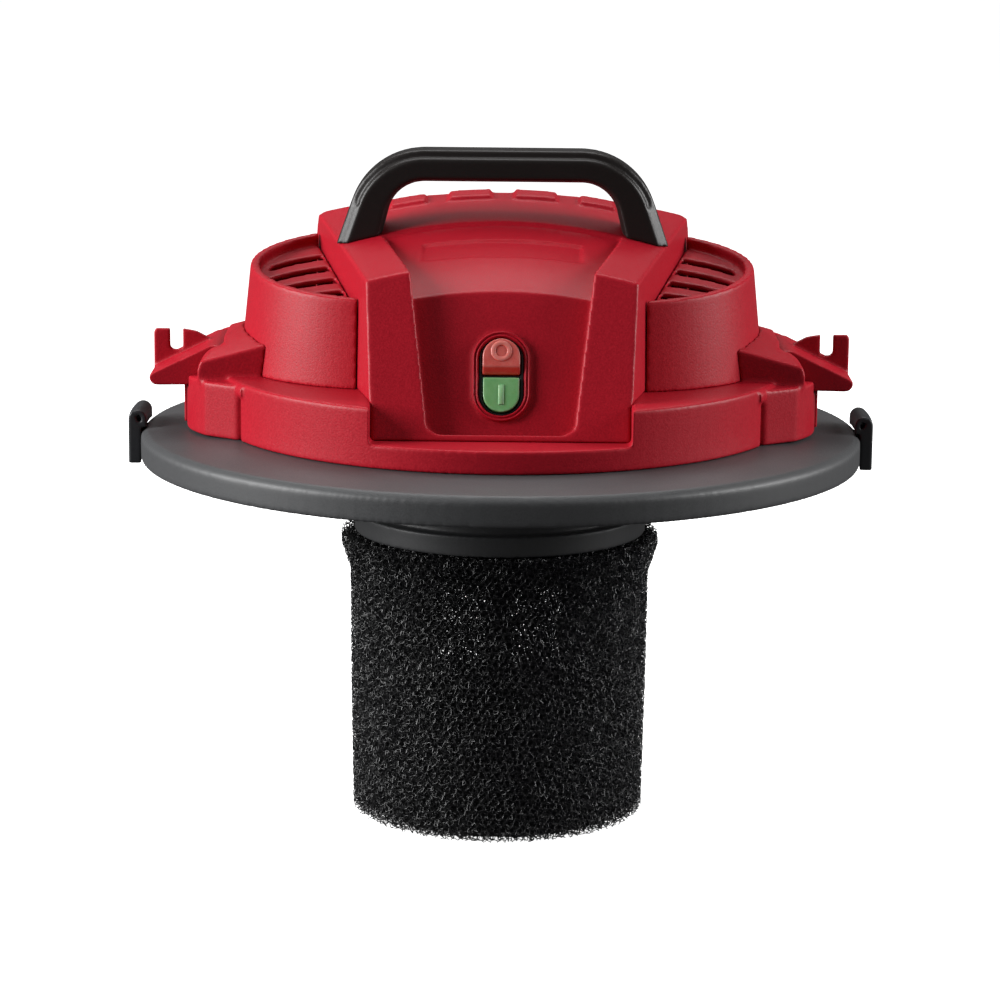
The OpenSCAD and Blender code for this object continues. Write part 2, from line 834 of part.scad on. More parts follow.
/* ---- latches ---- */

module latch(s) {
    notch_x = skirt_r + 16.6;
    notch_w = 5.7;
    notch_z = shelf_z + 6;
    plate_top = shelf_z + 15.2;
    under_z = shelf_z - 6;
    color(red) side(s) difference() {
        union() {
            along_y(wing_w) {
                translate([pin_x, pin_z]) circle(r = barrel_r);
                polygon(concat([[pin_x + 1, pin_z + barrel_r - 0.2], [pin_x + 3, pin_z + barrel_r - 0.6]],
                    [[tip_x - 2.5, shelf_z - 0.4]], arc(tip_x - 3.5, under_z + 3, 3.5, 20, -90, 6),
                    [[web_x + web_t, under_z - 0.3], [pin_x + 2, under_z + 0.9]]));
            }
            along_y(plate_t) polygon([[skirt_r + 4.6, under_z + 4], [skirt_r + 4.6, pin_z + barrel_r - 0.4],
                [notch_x - 6, plate_top - 1], [notch_x, plate_top], [notch_x, notch_z + 1.2],
                [notch_x + 1.2, notch_z], [notch_x + notch_w - 1.2, notch_z],
                [notch_x + notch_w, notch_z + 1.2], [notch_x + notch_w, plate_top],
                [tip_x - 0.8, plate_top], [tip_x, plate_top - 1.2], [tip_x, under_z + 4]]);
            along_y(web_w) translate([web_x, lid_top + 1.2]) square([web_t, under_z + 1 - lid_top]);
            along_y(12) polygon([[web_x + eps, lid_top + 1.4], [web_x - 3.4, lid_top + 1.4],
                [web_x - 3.4, lid_top + 4.8], [web_x + eps, lid_top + 7.7]]);
        }
        translate([pin_x, 0, pin_z]) rotate([90, 0, 0])
            cylinder(r = pin_r + play, h = wing_w + 2, center = true);
        translate([pin_x, 22, pin_z]) rotate([90, 0, 0]) cylinder(r = barrel_r - 2, h = 10);
        translate([pin_x - barrel_r + 2, 12, pin_z - 20]) cube([2 * barrel_r - 4, 10, 20]);
    }
}

module latch_pin(s) {
    color(steel) side(s) translate([pin_x, pin_cover - ear_end, pin_z]) rotate([-90, 0, 0])
        cylinder(r = pin_r, h = pin_len);
}

// Points of a helical torsion spring with straight legs, along +Y
function spring_path(r, pitch, turns, leg, steps) = concat(
    [[-r, 0, -leg]],
    [for (i = [0:steps * turns]) [-r * cos(360 * i / steps), pitch * i / steps, r * sin(360 * i / steps)]],
    [[-r, pitch * turns + 0.3, r]]);

// A round wire swept along a path of points
module wire(path, r, sides = 8) {
    n = len(path);
    dirs = [for (i = [0:n - 1]) let (d = path[min(i + 1, n - 1)] - path[max(i - 1, 0)]) d / norm(d)];
    across = [for (d = dirs) let (c = cross(d, abs(d[1]) < 0.9 ? [0, 1, 0] : [1, 0, 0])) c / norm(c)];
    points = [for (i = [0:n - 1], k = [0:sides - 1]) let (a = 360 * k / sides)
        path[i] + r * (cos(a) * across[i] + sin(a) * cross(dirs[i], across[i]))];
    walls = [for (i = [0:n - 2], k = [0:sides - 1], half = [0, 1]) let (j = (k + 1) % sides)
        half == 0 ? [i * sides + k, i * sides + j, (i + 1) * sides + j]
            : [i * sides + k, (i + 1) * sides + j, (i + 1) * sides + k]];
    ends = [[for (k = [sides - 1:-1:0]) k], [for (k = [0:sides - 1]) (n - 1) * sides + k]];
    polyhedron(points = points, faces = concat(walls, ends));
}

module latch_spring(s) {
    color(steel) side(s) translate([pin_x, 13.5, pin_z])
        wire(spring_path(pin_r + 1.6, 1.7, 4, barrel_r - 1.6, 12), 0.6);
}

/* ---- switch ---- */

// Outline of a push button: square towards the middle, round at its far end
module button_shape(up, w, h, grow = 0) {
    r = w / 2 + grow;
    intersection() {
        union() {
            translate([0, up * (h - w / 2)]) circle(r = r);
            translate([-r, up > 0 ? -grow : -(h - w / 2)]) square([2 * r, h - w / 2 + grow]);
        }
        translate([-r, up > 0 ? -grow : -h - grow]) square([2 * r, h + 2 * grow]);
    }
}

module switch_frame() {
    color(black) on_switch() difference() {
        translate([0, 0, -6]) linear_extrude(height = 6.6) stadium(frame_w, frame_h);
        translate([0, 0.7, -7]) linear_extrude(height = 10)
            button_shape(1, frame_w - 3.2, frame_h / 2 - 1.6, button_gap);
        translate([0, -0.7, -7]) linear_extrude(height = 10)
            button_shape(-1, frame_w - 3.8, frame_h / 2 - 1.9, button_gap);
    }
}

module off_button() {
    cap_top = 3.6;
    slope_up = 3;
    slope_foot = 0.8;
    color([0.85, 0.12, 0.12]) on_switch() translate([0, 0.7, 0]) {
        difference() {
            translate([0, 0, -5.6]) linear_extrude(height = 5.6 + cap_top)
                button_shape(1, frame_w - 3.2, frame_h / 2 - 1.6);
            rotate([90, 0, 90]) linear_extrude(height = 2 * frame_w, center = true)
                polygon([[-eps, slope_foot], [slope_up, cap_top], [slope_up, cap_top + 1], [-eps, cap_top + 1]]);
        }
        translate([0, frame_h / 4, -12]) cylinder(r = 2, h = 7);
    }
}

module on_button() {
    color([0.2, 0.6, 0.3]) on_switch() translate([0, -0.7, 0]) {
        translate([0, 0, -5.6]) linear_extrude(height = 8) button_shape(-1, frame_w - 3.8, frame_h / 2 - 1.9);
        translate([0, -frame_h / 4, -12]) cylinder(r = 2, h = 7);
    }
}

module switch_body() {
    body_d = 12;
    top = -6 - button_travel - 0.6;
    color(black) on_switch() difference() {
        union() {
            translate([-frame_w / 2, -frame_h / 2, top - body_d]) cube([frame_w, frame_h, body_d]);
            for (s = [-1, 1]) {
                translate([s * (frame_w / 2 + 0.8) - 0.8, -6, top - 4]) cube([1.6, 12, 4 - top - wall]);
            }
        }
        for (s = [-1, 1]) {
            translate([0, s * (frame_h / 4 + 0.7), top - 8]) cylinder(r = 2 + slide_gap, h = 20);
        }
    }
}

/* ---- motor and fan ---- */

module motor_gasket() {
    color(black) translate([0, 0, well_z]) tube(fan_r - 4, fan_r - 14, motor_gasket_h);
}

module fan_housing() {
    color(steel) difference() {
        union() {
            translate([0, 0, motor_z]) cylinder(r = fan_r, h = fan_h);
            ring_of(boss_ring_r, [45:90:315]) translate([0, 0, motor_z]) cylinder(r = 4, h = 2);
        }
        translate([0, 0, motor_z + 1.5]) cylinder(r = fan_r - 1.5, h = fan_h - 3);
        translate([0, 0, motor_z - 1]) cylinder(r = 22, h = 4);
        translate([0, 0, motor_z + fan_h - 3]) cylinder(r = shaft_r + 3, h = 5);
        translate([-duct_half_w + 3, 20, lid_top + 3]) cube([2 * duct_half_w - 6, 60, fan_top - lid_top - 6]);
        ring_of(boss_ring_r, [45:90:315]) translate([0, 0, motor_z - 1]) cylinder(r = screw_r + 0.1, h = 5);
    }
}

module motor_screws() {
    color(steel) ring_of(boss_ring_r, [45:90:315]) translate([0, 0, motor_z + 2]) mirror([0, 0, 1])
        screw(screw_r, 6);
}

module impeller() {
    r = fan_r - 6;
    back_z = motor_z + fan_h - 6;
    color(steel) difference() {
        union() {
            translate([0, 0, back_z]) cylinder(r = r, h = 1.5);
            translate([0, 0, motor_z + 4]) tube(r, 25, 1.5);
            translate([0, 0, back_z - 7]) cylinder(r = 9, h = 10);
            for (a = [0:360 / blades:359]) {
                rotate([0, 0, a]) translate([30, 20, motor_z + 5.5 - eps]) rotate([0, 0, -105])
                    rotate_extrude(angle = 75) translate([26, 0]) square([1.2, back_z - motor_z - 5.5 + 2 * eps]);
            }
        }
        translate([0, 0, motor_z - 1]) cylinder(r = shaft_r, h = fan_h + 4);
        translate([0, 0, motor_z]) tube(big / 2, r, fan_h);
    }
}

module fan_nut() {
    color(steel) translate([0, 0, motor_z + fan_h - 17]) difference() {
        cylinder(r = 7.5, h = 4, $fn = 6);
        translate([0, 0, -1]) cylinder(r = shaft_r, h = 8);
    }
}

module lower_bracket() {
    color([0.78, 0.78, 0.8]) difference() {
        union() {
            translate([0, 0, fan_top]) cylinder(r = 44, h = 2.5);
            translate([0, 0, fan_top]) cylinder(r = bearing_r + 3, h = bearing_h + 1);
            for (s = [-1, 1]) {
                translate([s * 36 - 3, -12, fan_top]) cube([6, 24, stack_z - fan_top]);
            }
        }
        translate([0, 0, fan_top - 1]) cylinder(r = shaft_r + 2, h = 20);
        translate([0, 0, fan_top + 1]) cylinder(r = bearing_r, h = 20);
        ring_of(28, [45:90:315]) translate([0, 0, fan_top - 1]) cylinder(r = 8, h = 5);
    }
}

module lower_bearing() {
    color(steel) translate([0, 0, fan_top + 1]) tube(bearing_r, shaft_r + play, bearing_h);
}

module stator_core() {
    coil_in = rotor_r - 1.6;
    color([0.45, 0.46, 0.48]) translate([0, 0, stack_z]) linear_extrude(height = stack_h) difference() {
        intersection() {
            square([80, 72], center = true);
            circle(r = 47);
        }
        circle(r = stator_r);
        for (sx = [-1, 1], sy = [-1, 1]) {
            translate([sx * (coil_in + 4.3), sy * (stator_r + 5.6)]) square([9, 7.8], center = true);
        }
    }
}

module field_coils() {
    coil_in = rotor_r - 1.6;
    color(copper) for (s = [-1, 1]) {
        translate([0, s * (stator_r + 5.6), stack_z + stack_h / 2]) along_y(7) difference() {
            square([2 * coil_in + 17, stack_h + 7], center = true);
            square([2 * coil_in + 0.4, stack_h + 0.4], center = true);
        }
    }
}

module rotor_core() {
    color([0.5, 0.5, 0.52]) translate([0, 0, stack_z]) linear_extrude(height = stack_h) difference() {
        circle(r = rotor_r);
        circle(r = shaft_r);
        for (a = [0:30:330]) {
            rotate(a) translate([rotor_r - 3, -0.8]) square([6, 1.6]);
        }
    }
}

module armature_windings() {
    color(copper) for (z = [stack_z - 3.6, stack_top]) {
        translate([0, 0, z]) tube(rotor_r - 2.5, shaft_r + 2, 3.6);
    }
}

module commutator() {
    color(copper) translate([0, 0, comm_z]) linear_extrude(height = comm_h) difference() {
        circle(r = 11);
        circle(r = shaft_r);
        for (a = [0:15:345]) {
            rotate(a) translate([10.4, -0.3]) square([2, 0.6]);
        }
    }
}

module motor_shaft() {
    color(steel) translate([0, 0, shaft_bottom]) cylinder(r = shaft_r, h = shaft_top - shaft_bottom);
}

module upper_bracket() {
    color([0.78, 0.78, 0.8]) difference() {
        union() {
            for (s = [-1, 1]) {
                translate([s * 36 - 3, -12, stack_top]) cube([6, 24, top_bearing_z + 5 - stack_top]);
            }
            translate([-39, -12, top_bearing_z]) cube([78, 24, 5]);
            translate([0, 0, top_bearing_z - 1]) cylinder(r = top_bearing_r + 3, h = top_bearing_h + 2);
        }
        translate([0, 0, top_bearing_z]) cylinder(r = top_bearing_r, h = 20);
        translate([0, 0, top_bearing_z - 10]) cylinder(r = shaft_r + 2, h = 20);
        translate([-50, -5.2, brush_z - 4.2]) cube([100, 10.4, 8.4]);
    }
}

module upper_bearing() {
    color(steel) translate([0, 0, top_bearing_z]) tube(top_bearing_r, shaft_r + play, top_bearing_h);
}

module carbon_brushes() {
    color([0.15, 0.15, 0.16]) for (s = [-1, 1]) {
        side(s) translate([0, 0, brush_z]) difference() {
            translate([10, -3, -2.5]) cube([14, 6, 5]);
            cylinder(r = 11 + play, h = 20, center = true);
        }
    }
}

module brush_holders() {
    color([0.8, 0.62, 0.3]) for (s = [-1, 1]) {
        side(s) difference() {
            translate([14, -5, brush_z - 4]) cube([26, 10, 8]);
            translate([13, -3, brush_z - 2.5]) cube([25, 6, 5]);
        }
    }
}

module brush_springs() {
    color(steel) for (s = [-1, 1]) {
        side(s) translate([24.6, 0, brush_z]) rotate([0, 0, -90])
            wire([for (i = [0:40]) [1.5 * cos(45 * i), 12.8 * i / 40, 1.5 * sin(45 * i)]], 0.4, 6);
    }
}

module cooling_fan() {
    color(charcoal) translate([0, 0, cooling_z]) difference() {
        union() {
            cylinder(r = 26, h = 1.5);
            cylinder(r = 7, h = cooling_h);
            for (a = [0:40:320]) {
                rotate([0, 0, a]) translate([8, -0.7, 1]) cube([17, 1.4, cooling_h - 1]);
            }
        }
        translate([0, 0, -1]) cylinder(r = shaft_r, h = cooling_h + 2);
    }
}

/* ---- ports and wiring ---- */

module exhaust_duct() {
    low = lid_top + 2;
    high = port_z + port_r + 3;
    bend = fan_top + 2;
    color(charcoal) difference() {
        union() {
            translate([-duct_half_w, fan_r - 12, low]) cube([2 * duct_half_w, duct_y - fan_r + 12, fan_top - low]);
            translate([-duct_half_w, fan_r - 6, fan_top - 1]) cube([2 * duct_half_w, duct_y - fan_r + 6, high - fan_top]);
        }
        translate([1.5 - duct_half_w, 20, low + 1.5])
            cube([2 * duct_half_w - 3, duct_y - 21.5, fan_top - low - 3]);
        translate([1.5 - duct_half_w, fan_r - 4.5, fan_top - 10])
            cube([2 * duct_half_w - 3, duct_y - fan_r + 3, high - fan_top + 7.5]);
        translate([0, 0, lid_top]) cylinder(r = fan_r, h = bend - lid_top - 2);
        translate([0, duct_y - 5, port_z]) rotate([-90, 0, 0]) cylinder(r = port_r, h = 20);
    }
}

module blow_port() {
    color(charcoal) translate([0, duct_y, port_z]) rotate([-90, 0, 0]) difference() {
        cylinder(r = port_r + port_wall, h = port_end_y - duct_y);
        translate([0, 0, -1]) cylinder(r = port_r, h = port_end_y - duct_y + 2);
    }
}

module cord_inlet() {
    color(black) translate([48, rear_y - 16, shelf_z + 13]) rotate([-90, 0, 0]) difference() {
        cylinder(r = cord_r + 2.5, h = 22);
        translate([0, 0, -1]) cylinder(r = cord_r, h = 24);
    }
}

module terminal_block() {
    color([0.9, 0.9, 0.86]) translate([63, 32, shelf_z]) difference() {
        cube([12, 28, 11]);
        for (i = [0:2]) {
            translate([6, 5 + 9 * i, 3]) cylinder(r = 2.4, h = 10);
        }
    }
}

module suppressor_capacitor() {
    color([0.85, 0.75, 0.2]) translate([-34, 73, shelf_z]) cylinder(r = 8, h = 26);
}

foam_filter();
filter_cage();
float_ball();
float_seat_seal();
filter_collar();
collar_screws();
lid();
tank_gasket();
rim_catch(-1);  // rim_catch_left
rim_catch(1);  // rim_catch_right
lower_housing();
lower_housing_screws();
vent_housing(-1);  // vent_housing_left
vent_housing(1);  // vent_housing_right
top_cover();
cover_screws();
handle();
handle_screws();
latch(-1);  // latch_left
latch(1);  // latch_right
latch_pin(-1);  // latch_pin_left
latch_pin(1);  // latch_pin_right
latch_spring(-1);  // latch_spring_left
latch_spring(1);  // latch_spring_right
switch_frame();
switch_body();
off_button();
on_button();
motor_gasket();
fan_housing();
motor_screws();
impeller();
fan_nut();
lower_bracket();
lower_bearing();
stator_core();
field_coils();
rotor_core();
armature_windings();
commutator();
motor_shaft();
upper_bracket();
upper_bearing();
carbon_brushes();
brush_holders();
brush_springs();
cooling_fan();
exhaust_duct();
blow_port();
cord_inlet();
terminal_block();
suppressor_capacitor();
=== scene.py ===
"""Looks of a wet and dry shop vacuum's power head.

The part stands on its foam sleeve. +Z is up, the switch panel faces -Y, and every length is in metres unless its
name says otherwise.
"""

import json
import logging
import math
from dataclasses import dataclass, field
from enum import Enum
from itertools import permutations, product

import bmesh
import bpy
import numpy as np
from mathutils import Euler, Matrix, Vector

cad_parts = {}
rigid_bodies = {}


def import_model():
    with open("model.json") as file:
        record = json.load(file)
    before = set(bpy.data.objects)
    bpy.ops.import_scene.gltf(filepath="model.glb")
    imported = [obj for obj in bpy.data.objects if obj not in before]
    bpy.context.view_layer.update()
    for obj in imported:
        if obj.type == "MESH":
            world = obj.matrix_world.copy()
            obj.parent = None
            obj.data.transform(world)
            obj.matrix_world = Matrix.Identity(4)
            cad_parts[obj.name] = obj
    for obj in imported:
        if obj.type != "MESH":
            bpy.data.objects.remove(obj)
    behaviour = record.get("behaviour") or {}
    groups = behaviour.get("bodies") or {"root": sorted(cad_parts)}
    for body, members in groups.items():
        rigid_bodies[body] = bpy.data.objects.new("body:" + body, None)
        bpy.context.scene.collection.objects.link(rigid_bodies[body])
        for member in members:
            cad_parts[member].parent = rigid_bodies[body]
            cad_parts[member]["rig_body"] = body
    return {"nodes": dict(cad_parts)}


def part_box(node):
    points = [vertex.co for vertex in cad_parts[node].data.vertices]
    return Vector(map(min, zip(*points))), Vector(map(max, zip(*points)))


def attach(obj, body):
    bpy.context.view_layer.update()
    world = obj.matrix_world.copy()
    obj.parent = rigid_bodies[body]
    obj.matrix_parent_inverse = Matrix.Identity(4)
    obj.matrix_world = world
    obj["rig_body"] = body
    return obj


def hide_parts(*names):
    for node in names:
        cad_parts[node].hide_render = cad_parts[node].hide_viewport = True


MM = 0.001

Colour = tuple[float, float, float]
Place = tuple[float, float, float]
Input = "Value | bpy.types.NodeSocket | Colour | float"

log = logging.getLogger("power_head")
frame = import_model()


# ---- shader maths ----


class Value:
    """A number socket in a node tree. Arithmetic on it adds Math nodes."""

    def __init__(self, shader: "Shader", socket: bpy.types.NodeSocket) -> None:
        """Wraps a socket.

        Args:
            shader: The shader whose tree holds the socket.
            socket: The output socket that gives the number.
        """
        self.shader = shader
        self.socket = socket

    def _math(self, operation: str, first: object, second: object) -> "Value":
        """Adds one Math node.

        Args:
            operation: The Math node's operation.
            first: Its first operand, a Value or a number.
            second: Its second operand, a Value or a number.

        Returns:
            The node's result.
        """
        node = self.shader.node("ShaderNodeMath", {"operation": operation}, {0: first, 1: second})
        return Value(self.shader, node.outputs[0])

    def __add__(self, other: object) -> "Value":
        """Sum with a Value or a number."""
        return self._math("ADD", self, other)

    def __radd__(self, other: object) -> "Value":
        """Sum with the number on the left."""
        return self._math("ADD", other, self)

    def __sub__(self, other: object) -> "Value":
        """Difference from a Value or a number."""
        return self._math("SUBTRACT", self, other)

    def __rsub__(self, other: object) -> "Value":
        """Difference with the number on the left."""
        return self._math("SUBTRACT", other, self)

    def __mul__(self, other: object) -> "Value":
        """Product with a Value or a number."""
        return self._math("MULTIPLY", self, other)

    def __rmul__(self, other: object) -> "Value":
        """Product with the number on the left."""
        return self._math("MULTIPLY", other, self)


class Shader:
    """Builds the node tree of one material."""

    def __init__(self, name: str) -> None:
        """Starts an empty material.

        Args:
            name: The material's name.
        """
        self.material = bpy.data.materials.new(name)
        self.material.use_nodes = True
        self.tree = self.material.node_tree
        self.tree.nodes.clear()

    def node(
        self, kind: str, settings: dict[str, object] | None = None, inputs: dict[str | int, object] | None = None
    ) -> bpy.types.Node:
        """Adds a node, makes its settings and then fills its sockets.

        Args:
            kind: The node's type name.
            settings: Attributes of the node. "stops" holds a ramp's (position, colour) pairs.
            inputs: Socket name or index to a Value, a socket or a constant.

        Returns:
            The new node.
        """
        made = self.tree.nodes.new(kind)
        for key, setting in (settings or {}).items():
            if key == "stops":
                self._set_stops(made.color_ramp, setting)
            else:
                setattr(made, key, setting)
        for key, given in (inputs or {}).items():
            socket = made.inputs[key]
            if isinstance(given, Value):
                self.tree.links.new(given.socket, socket)
            elif isinstance(given, bpy.types.NodeSocket):
                self.tree.links.new(given, socket)
            elif isinstance(given, tuple) and len(socket.default_value) == 4:
                socket.default_value = (*given, 1.0)
            else:
                socket.default_value = given
        return made

    @staticmethod
    def _set_stops(ramp: bpy.types.ColorRamp, stops: list[tuple[float, Colour]]) -> None:
        """Gives a ramp its stops.

        Args:
            ramp: The ramp, which starts with two stops.
            stops: Position and colour of each stop.
        """
        while len(ramp.elements) < len(stops):
            ramp.elements.new(1.0)
        for element, (position, colour) in zip(ramp.elements, stops, strict=True):
            element.position = position
            element.color = (*colour, 1.0)

    def place(self) -> bpy.types.NodeSocket:
        """The surface point in the part's own frame."""
        return self.node("ShaderNodeTexCoord").outputs["Object"]

    def noise(self, size: float, detail: float = 2.0, roughness: float = 0.5) -> Value:
        """Noise from 0 to 1.

        Args:
            size: Width of one blotch, in metres.
            detail: Number of finer octaves.
            roughness: Strength of the finer octaves.

        Returns:
            The noise.
        """
        inputs = {"Vector": self.place(), "Scale": 1.0 / size, "Detail": detail, "Roughness": roughness}
        return Value(self, self.node("ShaderNodeTexNoise", None, inputs).outputs[0])

    def cells(self, size: float) -> Value:
        """Distance to the nearest cell centre of a cell pattern.

        Args:
            size: Width of one cell, in metres.

        Returns:
            The distance as a share of a cell.
        """
        inputs = {"Vector": self.place(), "Scale": 1.0 / size}
        return Value(self, self.node("ShaderNodeTexVoronoi", None, inputs).outputs["Distance"])

    def band(self, value: Value, low: float, high: float) -> Value:
        """Runs from 0 at low to 1 at high.

        Args:
            value: What is measured.
            low: Where the result is 0.
            high: Where the result is 1.

        Returns:
            The share of the way from low to high.
        """
        inputs = {"Value": value, "From Min": low, "From Max": high}
        return Value(self, self.node("ShaderNodeMapRange", {"clamp": True}, inputs).outputs[0])

    def blend(self, share: Value, low: Input, high: Input) -> bpy.types.NodeSocket:
        """Mixes two colours.

        Args:
            share: 0 for low and 1 for high.
            low: The first colour.
            high: The second colour.

        Returns:
            The mixed colour.
        """
        node = self.node("ShaderNodeMix", {"data_type": "RGBA"}, {0: share, 6: low, 7: high})
        return node.outputs[2]

    def bump(self, height: Value, depth: float, strength: float = 1.0) -> bpy.types.NodeSocket:
        """A normal from a height.

        Args:
            height: Height from 0 to 1.
            depth: Real height of 1, in metres.
            strength: Share of the effect.

        Returns:
            The normal.
        """
        inputs = {"Height": height, "Distance": depth, "Strength": strength}
        return self.node("ShaderNodeBump", None, inputs).outputs[0]

    def surface(self, inputs: dict[str | int, object]) -> bpy.types.Material:
        """Closes the tree with a Principled shader.

        Args:
            inputs: The Principled shader's sockets.

        Returns:
            The finished material.
        """
        principled = self.node("ShaderNodeBsdfPrincipled", None, inputs)
        self.node("ShaderNodeOutputMaterial", None, {"Surface": principled.outputs[0]})
        return self.material


# ---- finishes ----


@dataclass(frozen=True)
class Finish:
    """A surface finish. slot is the record's material slot that it stands for."""

    slot: str
    colour: Colour

    def build(self) -> bpy.types.Material:
        """Makes the material."""
        raise NotImplementedError

    def shade(self, share: float) -> Colour:
        """The colour, darker or lighter.

        Args:
            share: What each channel is multiplied by.

        Returns:
            The new colour, each channel at most 1.
        """
        return tuple(min(1.0, channel * share) for channel in self.colour)


@dataclass(frozen=True)
class GrainedPlastic(Finish):
    """Moulded plastic with a spark-eroded grain and a painted highlight along its edges."""

    roughness: float = 0.4
    cloud: float = 38 * MM
    edge_highlight: float = 0.6
    grain: float = 0.7 * MM
    grain_depth: float = 0.04 * MM
    specular: float = 0.5
    edge_highlight_gain: float = 1.35

    def build(self) -> bpy.types.Material:
        """Makes the material."""
        shader = Shader(self.slot)
        speck = shader.noise(self.grain, 3.0, 0.65)
        cloud = shader.noise(self.cloud, 3.0)
        fine = shader.band(speck, 0.3, 0.7)
        tone = shader.blend(fine, self.shade(0.8), self.shade(1.16))
        tone = shader.blend(shader.band(cloud, 0.3, 0.75) * 0.35, tone, self.shade(0.8))
        # Painted highlight: convex edges, found by pointiness, are blended towards a lighter copy of the colour.
        geometry = shader.node("ShaderNodeNewGeometry")
        edge = shader.band(Value(shader, geometry.outputs["Pointiness"]), 0.51, 0.57)
        tone = shader.blend(edge * self.edge_highlight, tone, self.shade(self.edge_highlight_gain))
        rough = self.roughness + (fine - 0.5) * 0.14 + (cloud - 0.5) * 0.12
        return shader.surface({
            "Base Color": tone,
            "Roughness": rough,
            "Normal": shader.bump(speck, self.grain_depth),
            "Specular IOR Level": self.specular,
        })


@dataclass(frozen=True)
class SatinPlastic(Finish):
    """Smooth plastic with faint flow marks and handling wear."""

    roughness: float = 0.35
    ripple: float = 0.006 * MM
    clear: float = 0.0

    def build(self) -> bpy.types.Material:
        """Makes the material."""
        shader = Shader(self.slot)
        flow = shader.noise(9 * MM, 4.0)
        dust = shader.noise(0.8 * MM, 2.0, 0.7)
        tone = shader.blend(shader.band(flow, 0.35, 0.7), self.shade(0.85), self.shade(1.15))
        rough = self.roughness + (dust - 0.5) * 0.16 + (flow - 0.5) * 0.1
        return shader.surface({
            "Base Color": tone,
            "Roughness": rough,
            "Normal": shader.bump(dust, self.ripple),
            "Coat Weight": self.clear,
            "Coat Roughness": 0.15,
        })


@dataclass(frozen=True)
class ButtonPlastic(Finish):
    """Milky coloured plastic of a push-button cap, with random haze, a painted highlight at its edges and a painted,
    deeper colour on its underside.
    """

    haze_and_edge_highlight: Colour = (1.0, 1.0, 1.0)
    underside_light_and_shade: Colour = (0.5, 0.5, 0.5)

    def build(self) -> bpy.types.Material:
        """Makes the material."""
        shader = Shader(self.slot)
        # Painted highlight: sharp convex edges are lightened towards the pale colour, which also gives the random
        # haze below.
        geometry = shader.node("ShaderNodeNewGeometry")
        edge = shader.band(Value(shader, geometry.outputs["Pointiness"]), 0.49, 0.56)
        haze = shader.noise(3 * MM, 3.0)
        tone = shader.blend(shader.band(haze, 0.35, 0.75) * 0.35, self.colour, self.haze_and_edge_highlight)
        tone = shader.blend(edge * 0.7, tone, self.haze_and_edge_highlight)
        # Painted light and shade on the underside: faces pointing down are blended towards this colour, a painted
        # glow through the red cap and painted shade under the green one.
        facing = shader.node("ShaderNodeTexCoord").outputs["Normal"]
        parts = shader.node("ShaderNodeSeparateXYZ", None, {"Vector": facing})
        tone = shader.blend(shader.band(Value(shader, parts.outputs["Z"]), -0.1, -0.6), tone, self.underside_light_and_shade)
        dust = shader.noise(0.4 * MM, 2.0)
        return shader.surface({
            "Base Color": tone,
            "Roughness": 0.3 + (dust - 0.5) * 0.2,
            "Normal": shader.bump(dust, 0.01 * MM),
            "Subsurface Weight": 0.15,
            "Subsurface Scale": 1.5 * MM,
            "Coat Weight": 0.3,
            "Coat Roughness": 0.2,
        })


@dataclass(frozen=True)
class Rubber(Finish):
    """Soft rubber with a dusty bloom."""

    def build(self) -> bpy.types.Material:
        """Makes the material."""
        shader = Shader(self.slot)
        bloom = shader.noise(6 * MM, 4.0)
        dust = shader.noise(0.5 * MM, 2.0)
        tone = shader.blend(shader.band(bloom, 0.45, 0.8), self.colour, self.shade(1.8))
        return shader.surface({
            "Base Color": tone,
            "Roughness": 0.72 + (dust - 0.5) * 0.2,
            "Normal": shader.bump(dust, 0.03 * MM),
            "Specular IOR Level": 0.3,
        })


@dataclass(frozen=True)
class FoamStrand(Finish):
    """The fine struts of open-cell foam, with a faint shine."""

    def build(self) -> bpy.types.Material:
        """Makes the material."""
        shader = Shader(self.slot)
        return shader.surface({
            "Base Color": self.colour,
            "Roughness": 0.34,
            "Specular IOR Level": 0.7,
        })


class Polish(Enum):
    """How a metal surface was made."""

    TURNED = "turned"
    PRESSED = "pressed"
    CAST = "cast"


@dataclass(frozen=True)
class Metal(Finish):
    """Bare or plated metal."""

    polish: Polish = Polish.PRESSED
    roughness: float = 0.35

    def build(self) -> bpy.types.Material:
        """Makes the material."""
        shader = Shader(self.slot)
        stain = shader.noise(12 * MM, 4.0)
        marks = {
            Polish.TURNED: lambda: shader.noise(0.25 * MM, 1.0),
            Polish.PRESSED: lambda: shader.noise(1.6 * MM, 4.0, 0.7),
            Polish.CAST: lambda: shader.cells(0.9 * MM),
        }[self.polish]()
        depth = {Polish.TURNED: 0.01 * MM, Polish.PRESSED: 0.012 * MM, Polish.CAST: 0.06 * MM}[self.polish]
        tone = shader.blend(shader.band(stain, 0.35, 0.75), self.colour, self.shade(0.72))
        return shader.surface({
            "Base Color": tone,
            "Metallic": 1.0,
            "Roughness": self.roughness + (stain - 0.5) * 0.3 + (marks - 0.5) * 0.12,
            "Normal": shader.bump(marks, depth),
        })


@dataclass(frozen=True)
class Winding(Finish):
    """Enamelled wire, wound side by side."""

    wire: float = 0.8 * MM

    def build(self) -> bpy.types.Material:
        """Makes the material."""
        shader = Shader(self.slot)
        inputs = {"Vector": shader.place(), "Scale": 1.0 / self.wire, "Distortion": 1.2, "Detail": 1.0}
        settings = {"bands_direction": "DIAGONAL"}
        wire = Value(shader, shader.node("ShaderNodeTexWave", settings, inputs).outputs[1])
        # Painted shade: the grooves between the turns are darkened to about a third of the copper colour.
        tone = shader.blend(wire, self.shade(0.35), self.colour)
        return shader.surface({
            "Base Color": tone,
            "Metallic": 0.6,
            "Roughness": 0.32 + (1 - wire) * 0.2,
            "Normal": shader.bump(wire, 0.2 * MM),
        })
